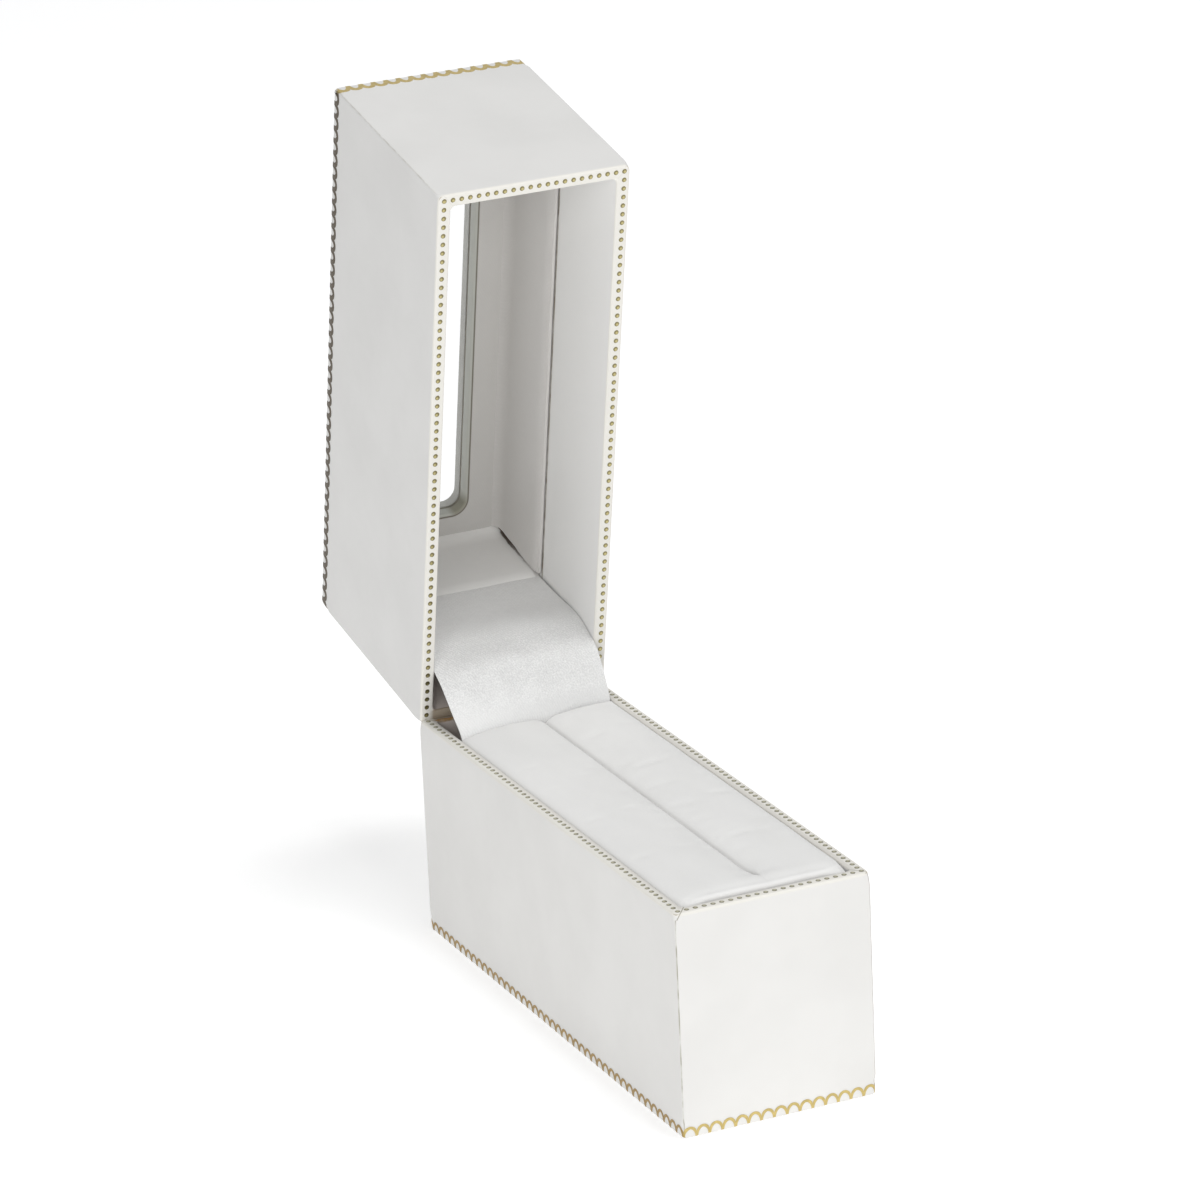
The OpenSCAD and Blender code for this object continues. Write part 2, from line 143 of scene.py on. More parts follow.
def settle(obj, held, pressure, growth, cap):
    """Blender's cloth on a piece drawn in millimetres.

    held gives how firmly each point is held, from 0 to 1, growth how much the cloth grows, and no point moves
    further than cap."""
    # the solver gets the millimetres at a fiftieth, a size it is steady at
    scene, scale, frames = bpy.context.scene, 0.02, 20
    before = [v.co.copy() for v in obj.data.vertices]
    group = obj.vertex_groups.new(name="held")
    for v in obj.data.vertices:
        group.add([v.index], held(v.co), "REPLACE")
    obj.data.transform(Matrix.Scale(scale, 4))
    cloth = obj.modifiers.new("cloth", "CLOTH")
    cloth.collision_settings.use_collision = False
    cloth.settings.quality = 6
    cloth.settings.mass = 0.3
    cloth.settings.tension_stiffness = cloth.settings.compression_stiffness = 20
    cloth.settings.bending_stiffness = 2
    cloth.settings.vertex_group_mass = "held"
    cloth.settings.use_pressure = pressure > 0
    cloth.settings.uniform_pressure_force = pressure
    cloth.settings.shrink_min = -growth
    cloth.settings.effector_weights.gravity = 0
    for step in range(1, frames + 1):
        scene.frame_set(step)
    swollen = obj.evaluated_get(bpy.context.evaluated_depsgraph_get()).to_mesh()
    after = [v.co / scale for v in swollen.vertices]
    obj.modifiers.clear()
    obj.vertex_groups.clear()
    scene.frame_set(1)
    for v, start, end in zip(obj.data.vertices, before, after):
        move = end - start
        v.co = start + move * min(1.0, cap / max(move.length, 0.0001))


def place(obj, body, material, replaces=(), sharp=32):
    """Scales a piece drawn in millimetres to metres, gives it its material and puts it on its body."""
    apply_modifiers(obj)
    obj.data.transform(Matrix.Scale(MM, 4))
    obj.data.shade_smooth()
    obj.data.set_sharp_from_angle(angle=radians(sharp))
    obj.data.materials.clear()
    obj.data.materials.append(material)
    if body == "lid":
        obj.matrix_world = LID
    if body:
        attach(obj, body)
    if replaces:
        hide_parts(*replaces)
    return obj


def rounded_loop(half_w, half_l, r, z, segments=8):
    """The points of a rounded rectangle, corner by corner, always the same number of them."""
    points = []
    for sx, sy, start in ((1, 1, 0), (-1, 1, 90), (-1, -1, 180), (1, -1, 270)):
        for k in range(segments + 1):
            a = radians(start + 90 * k / segments)
            points.append((sx * (half_w - r) + r * cos(a), sy * (half_l - r) + r * sin(a), z))
    return points


def box_loop(inset, r, z):
    """A loop round the box, inset from its outside."""
    return rounded_loop(HALF_W - inset, HALF_L - inset, r, z)


def loft(name, loops):
    """A closed skin through loops of points, the last joined to the first."""
    n = len(loops[0])
    faces = []
    for i in range(len(loops)):
        a, b = i * n, ((i + 1) % len(loops)) * n
        for k in range(n):
            faces.append((a + k, a + (k + 1) % n, b + (k + 1) % n, b + k))
    return mesh_object(name, [p for loop in loops for p in loop], faces)


def grid_faces(rows, columns):
    """The faces of a grid of points, listed row by row."""
    corners = (0, 1, columns + 1, columns)
    return [tuple(j * columns + i + c for c in corners) for j in range(rows - 1) for i in range(columns - 1)]


def quarter(r, steps=4):
    """(distance in from the face, distance in from the end) down a rounded edge, from the face to the end."""
    return [(r - r * cos(radians(90 * k / steps)), r - r * sin(radians(90 * k / steps))) for k in range(steps + 1)]


def cut(obj, *cutters):
    for cutter in cutters:
        modifier = obj.modifiers.new("cut", "BOOLEAN")
        modifier.operation = "DIFFERENCE"
        modifier.solver = "EXACT"
        modifier.object = cutter
    apply_modifiers(obj)
    for cutter in cutters:
        bpy.data.objects.remove(cutter)


def prism(name, outline, half_w):
    """A bar along X with the given outline of (y, z) points."""
    n = len(outline)
    points = [(s * half_w, y, z) for s in (-1, 1) for y, z in outline]
    faces = [(k, (k + 1) % n, n + (k + 1) % n, n + k) for k in range(n)]
    return mesh_object(name, points, faces + [tuple(range(n)), tuple(range(n, 2 * n))])


def hinge_cutters(side):
    """The bevel behind the pin (side 1 for the base, -1 for the lid) and the room for the knuckles."""
    slope = tan(radians(OPEN_ANGLE / 2 + 0.6))
    y, z = PIN.y, PIN.z
    knuckle_half_w = 8.2
    bevel = [(y, z), (y + 2, z - side * 2 * slope), (y + 2, z + side * 3), (y, z + side * 3)]
    circle = [(y + cos(radians(a)), z + sin(radians(a))) for a in range(0, 360, 15)]
    strip = [(y, z - 1), (y, z + 1), (IN_L - 1, z + 1), (IN_L - 1, z - 1)]
    return (
        prism("bevel", bevel, 20),
        prism("knuckles", circle, knuckle_half_w),
        prism("strips", strip, knuckle_half_w),
    )


def slab(name, low, high, r, cell, wave, seed=0.0):
    """A covered card: a box cut into cells, its edges rounded, its faces a little uneven."""
    bm = bmesh.new()
    bmesh.ops.create_cube(bm, size=1)
    low, high = Vector(low), Vector(high)
    size, middle = high - low, (high + low) / 2
    for v in bm.verts:
        v.co = Vector((v.co.x * size.x, v.co.y * size.y, v.co.z * size.z)) + middle
    for axis in range(3):
        cuts = int(size[axis] / cell)
        for k in range(1, cuts):
            at = low.copy()
            at[axis] += size[axis] * k / cuts
            normal = Vector((0, 0, 0))
            normal[axis] = 1
            bmesh.ops.bisect_plane(bm, geom=bm.verts[:] + bm.edges[:] + bm.faces[:], plane_co=at, plane_no=normal)
    hard = [e for e in bm.edges if len(e.link_faces) == 2 and e.calc_face_angle() > 0.8]
    bmesh.ops.bevel(bm, geom=hard, offset=r, segments=3, profile=0.5, affect="EDGES")
    bm.normal_update()
    for v in bm.verts:
        v.co += v.normal * wave * noise.noise(v.co / 7 + Vector((seed, seed, seed)))
    mesh = bpy.data.meshes.new(name)
    bm.to_mesh(mesh)
    bm.free()
    obj = bpy.data.objects.new(name, mesh)
    bpy.context.scene.collection.objects.link(obj)
    return obj


# ---- materials ----
class Shader:
    """A material's nodes, with short names for the ones used here. Lengths are in millimetres."""

    def __init__(self, name):
        self.material = bpy.data.materials.new(name)
        self.material.use_nodes = True
        self.nodes = self.material.node_tree.nodes
        self.links = self.material.node_tree.links
        self.surface = self.nodes["Principled BSDF"]
        self.place = self.nodes.new("ShaderNodeTexCoord").outputs["Object"]

    def put(self, value, socket):
        if isinstance(value, (int, float)):
            socket.default_value = value
        elif isinstance(value, tuple):
            socket.default_value = (*value, 1) if len(value) == 3 else value
        else:
            self.links.new(value, socket)

    def times(self, a, *others):
        for b in others:
            a = self.math("MULTIPLY", a, b)
        return a

    def less(self, a, b):
        return self.math("SUBTRACT", a, b)

    def size_of(self, a):
        return self.math("ABSOLUTE", a)

    def length(self, a, b):
        return self.math("SQRT", self.math("ADD", self.times(a, a), self.times(b, b)))

    def math(self, operation, a, b=0.0):
        node = self.nodes.new("ShaderNodeMath")
        node.operation = operation
        self.put(a, node.inputs[0])
        self.put(b, node.inputs[1])
        return node.outputs[0]

    def noise(self, size, detail=2.0, rough=0.5, stretch=None, distortion=0.0):
        node = self.nodes.new("ShaderNodeTexNoise")
        node.inputs["Scale"].default_value = 1 / (size * MM)
        node.inputs["Detail"].default_value = detail
        node.inputs["Roughness"].default_value = rough
        node.inputs["Distortion"].default_value = distortion
        self.put(self.mapped(stretch) if stretch else self.place, node.inputs["Vector"])
        return node.outputs["Fac"]

    def mapped(self, scale=(1, 1, 1), turn=(0, 0, 0)):
        node = self.nodes.new("ShaderNodeMapping")
        node.inputs["Scale"].default_value = scale
        node.inputs["Rotation"].default_value = [radians(a) for a in turn]
        self.links.new(self.place, node.inputs["Vector"])
        return node.outputs["Vector"]

    def cells(self, size):
        node = self.nodes.new("ShaderNodeTexVoronoi")
        node.inputs["Scale"].default_value = 1 / (size * MM)
        self.links.new(self.place, node.inputs["Vector"])
        return node.outputs["Distance"]

    def wave(self, pitch, turn, distortion=0.0, detail_size=1.0):
        node = self.nodes.new("ShaderNodeTexWave")
        node.wave_profile = "SIN"
        node.inputs["Scale"].default_value = 1 / (pitch * MM) * (2 * pi / 20)
        node.inputs["Distortion"].default_value = distortion
        node.inputs["Detail"].default_value = 2
        node.inputs["Detail Scale"].default_value = detail_size
        self.links.new(self.mapped(turn=turn), node.inputs["Vector"])
        return node.outputs["Fac"]

    def xyz(self):
        node = self.nodes.new("ShaderNodeSeparateXYZ")
        self.links.new(self.place, node.inputs[0])
        return node.outputs

    def ramp(self, value, low, high, out_low=0.0, out_high=1.0):
        node = self.nodes.new("ShaderNodeMapRange")
        node.inputs["From Min"].default_value = low
        node.inputs["From Max"].default_value = high
        node.inputs["To Min"].default_value = out_low
        node.inputs["To Max"].default_value = out_high
        self.links.new(value, node.inputs["Value"])
        return node.outputs["Result"]

    def mix(self, share, a, b):
        node = self.nodes.new("ShaderNodeMix")
        node.data_type = "RGBA"
        self.put(share, node.inputs["Factor"])
        self.put(a, node.inputs["A"])
        self.put(b, node.inputs["B"])
        return node.outputs["Result"]

    def mix_value(self, share, a, b):
        """a where share is 0 and b where it is 1."""
        return self.math("ADD", self.times(self.less(1.0, share), a), self.times(share, b))

    def bump(self, height, depth, strength=1.0, under=None):
        node = self.nodes.new("ShaderNodeBump")
        node.inputs["Strength"].default_value = strength
        node.inputs["Distance"].default_value = depth * MM
        self.links.new(height, node.inputs["Height"])
        if under:
            self.links.new(under, node.inputs["Normal"])
        return node.outputs["Normal"]

    def finish(self, color, rough, normal=None, **constants):
        self.put(color, self.surface.inputs["Base Color"])
        self.put(rough, self.surface.inputs["Roughness"])
        if normal:
            self.links.new(normal, self.surface.inputs["Normal"])
        for name, value in constants.items():
            self.surface.inputs[name.replace("_", " ")].default_value = value
        return self.material


def line_at(s, value, centre, half):
    """1 on a thin line where value is within half of centre, both in metres, 0 elsewhere."""
    return s.ramp(s.size_of(s.less(value, centre)), half * 0.4, half * 1.4, 1.0, 0.0)


def from_window(s):
    """How far a point is outside the window's rounded outline, in metres."""
    x, y, _ = s.xyz()
    beyond = s.math("MAXIMUM", s.less(s.size_of(x), (WINDOW_W / 2 - WINDOW_R) * MM), 0.0)
    past = s.math("MAXIMUM", s.less(s.size_of(y), (WINDOW_L / 2 - WINDOW_R) * MM), 0.0)
    return s.less(s.length(beyond, past), WINDOW_R * MM)


def paper_material(name, rim_z, towards, outer):
    """White covering paper: a fine pressed grain, faint clouding, folds on the rim and a seam down each corner.

    towards is 1 where the rim faces up and -1 where it faces down, drawn shut."""
    s = Shader(name)
    x, y, z = s.xyz()
    grain = s.cells(0.22)
    fibre = s.noise(0.09, 3)
    swell = s.noise(9, 2)
    cloud = s.noise(14, 3)
    from_side = s.less(HALF_W * MM, s.size_of(x))
    from_end = s.less(HALF_L * MM, s.size_of(y))
    over_rim = s.less(z, rim_z * MM)
    past_rim = s.times(over_rim, towards)
    near_rim = s.ramp(past_rim, -0.0006, -0.0003)
    seen_corner = s.times(s.ramp(x, -0.001, 0.001, 1.0, 0.0), s.ramp(y, -0.001, 0.001, 1.0, 0.0))

    # the folds on the rim's corners, one of them skewed, and the broken seam down each upright corner
    corner = s.less(from_side, from_end)
    mitre = line_at(s, corner, 0.0, 0.00009)
    skew = s.less(from_side, s.times(from_end, 0.75))
    skew = line_at(s, s.less(skew, s.times(over_rim, towards * 0.62)), 0.001, 0.0001)
    above_seam = s.ramp(past_rim, -0.00115, -0.00105)
    fold = s.times(s.mix_value(seen_corner, mitre, skew), above_seam)
    fold = s.times(fold, 1.0 if towards > 0 else 0.12)
    seam = s.times(line_at(s, corner, 0.0, 0.00015), s.ramp(s.noise(2.5, 3), 0.35, 0.6, 0.25, 1.0))
    seam = s.times(seam, s.less(s.ramp(from_side, 0.0005, 0.0007, 1.0, 0.0), above_seam))
    seam = s.times(seam, 1.0 if towards > 0 else 0.5)
    crease = s.math("MAXIMUM", fold, seam)

    # the turned-in paper, painted paler than the outside to make up for the shade inside the box, with a painted
    # warm shade in the corner by the hinge
    in_from, in_to = (RIM - 0.12) * MM, (RIM - 0.08) * MM
    inside = s.times(s.ramp(from_side, in_from, in_to), s.ramp(from_end, in_from, in_to))
    closed_end = LID_TOP_Z if towards < 0 else 0.0
    inside = s.times(inside, s.ramp(s.size_of(s.less(z, closed_end * MM)), 0.0009, 0.0011))
    hinge_shade = s.times(inside, s.ramp(y, 0.0415, 0.047))
    back_y = (HALF_L - RIM) * MM
    # painted brown shade on the rim at the hinge end, in the gap between base and lid
    back_rim_shade = s.times(s.ramp(y, back_y - 0.0004, back_y), near_rim)
    back_rim_shade = s.times(back_rim_shade, s.ramp(from_side, (RIM - 0.7) * MM, (RIM + 0.1) * MM))
    dark = (0.2, 0.16, 0.13)
    white = s.mix(s.ramp(cloud, 0.35, 0.65), outer, tuple(c + 0.03 for c in outer))
    # painted paler tone of the turned-in paper, standing in for light inside the box
    white = s.mix(inside, white, (0.85, 0.845, 0.83))
    # painted warm shade in the inside corner by the hinge
    white = s.mix(s.times(hinge_shade, 0.5), white, (0.62, 0.47, 0.39))
    white = s.mix(s.times(back_rim_shade, 0.8), white, (0.36, 0.28, 0.18))
    if towards > 0:
        # painted grey shade down the inside wall under the rim and on the rim's inner edge, away from the hinge
        below = s.times(inside, s.ramp(z, (rim_z - 1.6) * MM, (rim_z - 0.2) * MM, 1.0, 0.0))
        brim = s.ramp(s.math("MINIMUM", from_side, from_end), (RIM - 0.9) * MM, (RIM - 0.45) * MM, 0.0, 0.9)
        painted_shade_in_base = s.times(s.math("MAXIMUM", below, brim), s.less(1.0, hinge_shade))
        white = s.mix(painted_shade_in_base, white, (0.54, 0.53, 0.53))
        # a ragged ochre line across the base's rim at the hinge end
        ragged = s.math("ADD", y, s.ramp(s.noise(1.2, 3), 0.2, 0.8, -0.0004, 0.0004))
        ochre_line = line_at(s, ragged, back_y + 0.00035, 0.0003)
        white = s.mix(s.times(ochre_line, back_rim_shade, 0.9), white, (0.4, 0.22, 0.07))
    else:
        # painted dark shade on the paper hidden behind the linings
        behind = s.times(inside, s.ramp(z, (LINING_Z + 1.0) * MM, (LINING_Z + 1.8) * MM))
        white = s.mix(behind, white, dark)
        shadow = s.times(inside, line_at(s, z, (LINING_Z - 0.1) * MM, 0.00027))
        white = s.mix(s.times(shadow, s.ramp(s.noise(3, 3), 0.3, 0.6, 0.5, 0.95)), white, (0.2, 0.16, 0.11))
        # painted grey shade on the paper turned down into the window
        white = s.mix(s.ramp(from_window(s), 0.0, 0.00015, 1.0, 0.0), white, (0.62, 0.62, 0.585))
    rim_tint_share = s.times(s.less(1.0, s.math("MAXIMUM", hinge_shade, back_rim_shade)), 0.55)
    rim_tint = s.mix(s.times(near_rim, rim_tint_share), white, (0.85, 0.82, 0.74))
    color = s.mix(s.times(crease, 0.85), rim_tint, (0.32, 0.29, 0.22))
    rough = s.ramp(s.noise(1.3, 3), 0.3, 0.7, 0.46, 0.58)
    normal = s.bump(swell, 0.12, 0.35)
    normal = s.bump(grain, 0.006, 0.6, normal)
    normal = s.bump(fibre, 0.004, 0.5, normal)
    normal = s.bump(crease, -0.06, 0.8, normal)
    return s.finish(color, rough, normal, Specular_IOR_Level=0.2)


def dot_shade_ring(s):
    """1 in the painted dark crescent of shade round each dish-shaped dot on the rims, 0 in its middle."""
    x, y, _ = s.xyz()
    before = s.less(y, (-HALF_L + DOT_INSET) * MM)

    def from_centre(value, step):
        share = s.math("FRACT", s.math("ADD", s.math("DIVIDE", value, step * MM), 0.5))
        return s.times(s.less(share, 0.5), step * MM)

    def distance(a, b):
        return s.length(s.less(a, 0.00007), s.less(b, 0.00009))

    along = distance(s.less(s.size_of(x), (HALF_W - DOT_INSET) * MM), from_centre(before, DOT_STEP_L))
    across = distance(from_centre(s.math("ADD", x, (HALF_W - DOT_INSET) * MM), DOT_STEP_W), before)
    return s.ramp(s.math("MINIMUM", along, across), 0.00017, 0.0003)


def foil_material(name, bright, dark, metallic, painted_dot_rings=False):
    """Hot-stamped gold foil, pressed over the paper's grain and rubbed in places; down the sides it is painted
    darker, a painted reflection and shade.
    """
    s = Shader(name)
    worn = s.noise(0.8, 4, 0.6)
    _, y, _ = s.xyz()
    painted_side_shade = s.ramp(s.less(HALF_L * MM, s.size_of(y)), 0.0001, 0.0006)
    light = s.mix(s.ramp(worn, 0.35, 0.7), bright, tuple(c * 1.25 for c in bright))
    color = s.mix(painted_side_shade, light, dark)
    if painted_dot_rings:
        # painted shade ring round each dot
        color = s.mix(dot_shade_ring(s), color, tuple(c * 0.45 for c in bright))
    rough = s.ramp(s.noise(0.25, 3), 0.3, 0.7, 0.3, 0.46)
    normal = s.bump(s.noise(0.2, 3), 0.02, 0.7)
    return s.finish(color, rough, normal, Metallic=metallic)


def velvet_material():
    """Short white pile: soft sheen, fine fibres, faint brushed clouds and a painted shade line down the slit."""
    s = Shader("velvet")
    nap = s.noise(6, 3, stretch=(1, 0.4, 1))
    pile = s.noise(0.12, 2)
    color = s.mix(s.ramp(nap, 0.3, 0.7), (0.785, 0.781, 0.768), (0.825, 0.821, 0.808))
    color = s.mix(s.ramp(pile, 0.3, 0.7, 0.0, 0.5), color, (0.865, 0.86, 0.848))
    x, y, _ = s.xyz()
    # painted dark shade line down the slit, fading out at the front
    slit_x = s.ramp(y, -0.04, 0.045, (SLIT_FRONT - 0.15) * MM, (SLIT_BACK - 0.15) * MM)
    slit = s.times(line_at(s, s.less(x, slit_x), 0.0, 0.0005), s.ramp(y, -0.0438, -0.0425, 0.0, 0.4))
    color = s.mix(slit, color, (0.42, 0.41, 0.4))
    normal = s.bump(s.noise(2.5, 2), 0.1, 0.25)
    normal = s.bump(pile, 0.05, 0.45, normal)
    return s.finish(color, 0.95, normal, Sheen_Weight=0.35, Sheen_Roughness=0.35, Specular_IOR_Level=0.15)


def satin_material(
    name, light, pitch, turn, depth, rough, contrast, window_edge=False, gloss=0.5, seam=False, painted_sparkle=0.0
):
    """Satin: a twill line across the cloth, broken by the yarns, with a soft sheen along them."""
    s = Shader(name)
    twill = s.wave(pitch, turn, 2.2, 2.5)
    yarn = s.noise(0.16, 2)
    across = s.wave(pitch * 0.55, (turn[0], turn[1], turn[2] + 68), 0.5, 2)
    broken = s.times(s.ramp(yarn, 0.2, 0.8, 0.5, 1.1), s.ramp(s.noise(1.1, 3, 0.6), 0.3, 0.6, 0.25, 1.0))
    weave = s.times(s.math("ADD", twill, s.times(across, 0.6)), broken)
    tone = s.noise(5, 2)
    pale = tuple(c * 1.03 for c in light)
    dark = tuple(c * contrast for c in light)
    color = s.mix(s.ramp(weave, 0.2, 1.3, 0.0, 1.0), dark, s.mix(s.ramp(tone, 0.3, 0.7), light, pale))
    # painted shade round the window: a grey-green reveal, darker towards its corners, and a dark line where the
    # lining meets it
    if window_edge:
        x, y, _ = s.xyz()
        out = from_window(s)
        by_side = s.ramp(s.size_of(x), (WINDOW_W / 2 - 3.0) * MM, (WINDOW_W / 2 - 1.7) * MM)
        by_end = s.ramp(s.size_of(y), (WINDOW_L / 2 - 3.7) * MM, (WINDOW_L / 2 - 1.7) * MM)
        corner = s.times(by_side, by_end)
        reveal_shade = s.ramp(out, 0.00035, 0.00045, 1.0, 0.0)
        color = s.mix(reveal_shade, color, s.mix(s.times(corner, 0.75), (0.6, 0.61, 0.56), (0.3, 0.28, 0.2)))
        color = s.mix(line_at(s, out, 0.00055, 0.00014), color, (0.2, 0.18, 0.14))
    # painted dark shade on the hinge lining's ends, in the gaps by the wall linings, darker deeper in
    if seam:
        edge = s.math("ADD", s.size_of(s.xyz()[0]), s.ramp(s.noise(1.6, 3), 0.2, 0.8, -0.00025, 0.00025))
        inner = (LINING_W - LINING_T) * MM
        deep = s.ramp(s.xyz()[2], (LINING_Z + 5) * MM, (TOP_LINING_Z - 5) * MM, 0.25, 1.0)
        color = s.mix(s.times(s.ramp(edge, inner, inner + 0.0002), deep), color, (0.15, 0.115, 0.09))
    normal = s.bump(s.noise(3.5, 2), 0.12, 0.3)
    normal = s.bump(weave, depth, 0.8, normal)
    if painted_sparkle:
        _, y, z = s.xyz()
        # painted shade across the flap's middle, less at its bottom and none at its top
        painted_mid_shade = s.times(s.ramp(y, 0.050, 0.062, 1.0, 0.0), s.ramp(y, 0.0405, 0.0445, 0.3, 1.0))
        color = s.mix(painted_mid_shade, color, tuple(c * 0.77 for c in light))
        strength = s.times(s.ramp(y, 0.049, 0.057, 1.0, 0.75), s.ramp(z, 0.0412, 0.0428, 0.7, 1.0))
        # painted bright glints, strongest low on the flap, also given a bump
        painted_glint = s.times(s.noise(0.27, 2, 0.6), strength)
        color = s.mix(s.ramp(painted_glint, 0.4, 0.66, 0.0, 1.4 * painted_sparkle), color, (0.97, 0.97, 0.96))
        normal = s.bump(painted_glint, 0.12, painted_sparkle * 1.5, normal)
    sheen = {"Anisotropic": 0.45, "Sheen_Weight": 0.15, "Sheen_Roughness": 0.4, "Specular_IOR_Level": gloss}
    return s.finish(color, s.ramp(yarn, 0.3, 0.7, rough, rough + 0.12), normal, **sheen)


def clear_material():
    """Clear glossy sheet with the faintest haze and drawing lines."""
    s = Shader("clear_sheet")
    haze = s.noise(8, 3)
    color = s.mix(s.ramp(haze, 0.3, 0.7), (0.93, 0.95, 0.95), (0.97, 0.98, 0.98))
    rough = s.ramp(s.noise(3, 2), 0.3, 0.7, 0.03, 0.07)
    normal = s.bump(s.noise(12, 1, stretch=(1, 0.25, 1)), 0.02, 0.4)
    return s.finish(color, rough, normal, Alpha=0.04, Specular_IOR_Level=0.6)


def steel_material():
    """Plated spring steel, drawn along its length."""
    s = Shader("hinge_steel")
    lines = s.noise(0.3, 3, stretch=(1, 1, 14))
    spots = s.noise(1.5, 3)
    color = s.mix(s.ramp(spots, 0.35, 0.7), (0.56, 0.55, 0.54), (0.67, 0.66, 0.64))
    return s.finish(color, s.ramp(lines, 0.3, 0.7, 0.26, 0.42), s.bump(lines, 0.01, 0.5), Metallic=1.0)


def brass_material():
    s = Shader("rivet_brass")
    spots = s.noise(0.6, 3)
    color = s.mix(s.ramp(spots, 0.35, 0.7), (0.55, 0.42, 0.2), (0.72, 0.56, 0.28))
    return s.finish(color, s.ramp(spots, 0.3, 0.7, 0.28, 0.45), s.bump(s.noise(0.15, 2), 0.01, 0.5), Metallic=1.0)


def card_material(name, low, high):
    """Grey-buff card: felted fibres, flecks and a soft surface."""
    s = Shader(name)
    fibre = s.noise(0.5, 5, 0.7, distortion=1.2)
    fleck = s.cells(0.9)
    color = s.mix(s.ramp(fibre, 0.3, 0.7), low, high)
    color = s.mix(s.ramp(fleck, 0.0, 0.12, 0.5, 0.0), color, tuple(c * 0.6 for c in low))
    return s.finish(color, s.ramp(fibre, 0.3, 0.7, 0.82, 0.95), s.bump(fibre, 0.05, 0.6), Specular_IOR_Level=0.2)


def foam_material():
    s = Shader("foam")
    pores = s.cells(0.45)
    color = s.mix(s.ramp(pores, 0.1, 0.6), (0.55, 0.52, 0.43), (0.82, 0.79, 0.68))
    return s.finish(color, 0.95, s.bump(pores, 0.15, 0.9), Specular_IOR_Level=0.1)


def plain_paper_material():
    s = Shader("base_paper")
    fibre = s.noise(0.3, 4, 0.65)
    color = s.mix(s.ramp(fibre, 0.3, 0.7), (0.76, 0.755, 0.74), (0.82, 0.815, 0.8))
    return s.finish(color, s.ramp(fibre, 0.3, 0.7, 0.7, 0.85), s.bump(fibre, 0.02, 0.5), Specular_IOR_Level=0.25)


# base and lid wear one paper; the lid's copy is painted a little darker as shade
BASE_PAPER = paper_material("covering_paper_base", BASE_H, 1, (0.765, 0.756, 0.735))
LID_PAPER = paper_material("covering_paper_lid", LID_RIM_Z, -1, (0.725, 0.718, 0.702))
# one gold foil in four tones and metalness, each painted for the light where it lies; the second colour is a
# painted dark reflection and shade down the long sides, near black on the lid
BASE_FOIL = foil_material("gold_foil_base", (0.50, 0.395, 0.16), (0.37, 0.25, 0.095), 1.0)
LID_FOIL = foil_material("gold_foil_lid", (0.68, 0.54, 0.24), (0.06, 0.038, 0.012), 0.6)
BASE_DOT_FOIL = foil_material("gold_foil_base_dots", (0.52, 0.49, 0.35), (0.52, 0.49, 0.35), 0.12, True)
LID_DOT_FOIL = foil_material("gold_foil_lid_dots", (0.52, 0.455, 0.225), (0.52, 0.455, 0.225), 1.0, True)
VELVET = velvet_material()
FLAP_WEAVE = (0.45, (0, 0, -32), 0.05, 0.3, 0.92)
LINING_WEAVE = (0.3, (25, 30, 35), 0.004, 0.45, 0.985)
FLAP_SATIN = satin_material("satin", (0.92, 0.918, 0.91), *FLAP_WEAVE, gloss=0.6, painted_sparkle=0.4)
LINING_SATIN = satin_material("lining_satin", (0.67, 0.652, 0.63), *LINING_WEAVE)
TOP_SATIN = satin_material("lining_satin_top", (0.67, 0.655, 0.63), *LINING_WEAVE, window_edge=True)
# the hinge lining's satin is painted paler than the wall linings' as painted light, and takes the painted shade at
# its ends
END_SATIN = satin_material("lining_satin_end", (0.9, 0.89, 0.87), *LINING_WEAVE, seam=True)
CLEAR = clear_material()
STEEL = steel_material()
BRASS = brass_material()
CARD = card_material("card", (0.52, 0.47, 0.39), (0.66, 0.61, 0.52))
BOARD = card_material("board", (0.50, 0.46, 0.39), (0.62, 0.58, 0.5))
FOAM = foam_material()
PLAIN_PAPER = plain_paper_material()


# ---- the covering paper ----
def base_cover():
    """The paper over the base: in under the floor, up the outside, over the rim and down inside."""
    edge, lip, t, under = 0.4, 0.35, PAPER, 6.0
    deep = BASE_H - 14
    skin = [(under, FOOT_Z, 0.3)]
    skin += [(d, FOOT_Z + e, END_CORNER_R - d) for d, e in reversed(quarter(END_EDGE_R))]
    skin += [(0, FOOT_Z + up, r) for up, r in END_EASE]
    skin += [(0, BASE_H - down, r) for down, r in CORNER_EASE]
    skin += [(d, BASE_H - e, CORNER_TOP_R) for d, e in quarter(edge)]
    skin += [(RIM - d, BASE_H - e, RIM_CORNER_R + d) for d, e in reversed(quarter(lip))]
    skin += [(RIM, deep, RIM_CORNER_R), (RIM - t, deep, RIM_CORNER_R)]
    skin += [(RIM - t, BASE_H - lip, RIM_CORNER_R), (RIM - lip, BASE_H - t, RIM_CORNER_R)]
    skin += [(edge, BASE_H - t, CORNER_TOP_R), (t, BASE_H - edge, CORNER_TOP_R)]
    skin += [(t, BASE_H - down, r) for down, r in reversed(CORNER_EASE)]
    skin += [(t, FOOT_Z + up, r) for up, r in reversed(END_EASE)] + [(t, FOOT_Z + edge, END_CORNER_R)]
    skin += [(edge, FOOT_Z + t, END_CORNER_R - edge), (under, FOOT_Z + t, 0.3)]
    obj = loft("base_cover", [box_loop(d, max(r, 0.1), z) for d, z, r in skin])
    cut(obj, *hinge_cutters(1))
    return place(obj, "base", BASE_PAPER, ["base_wrap"], 40)


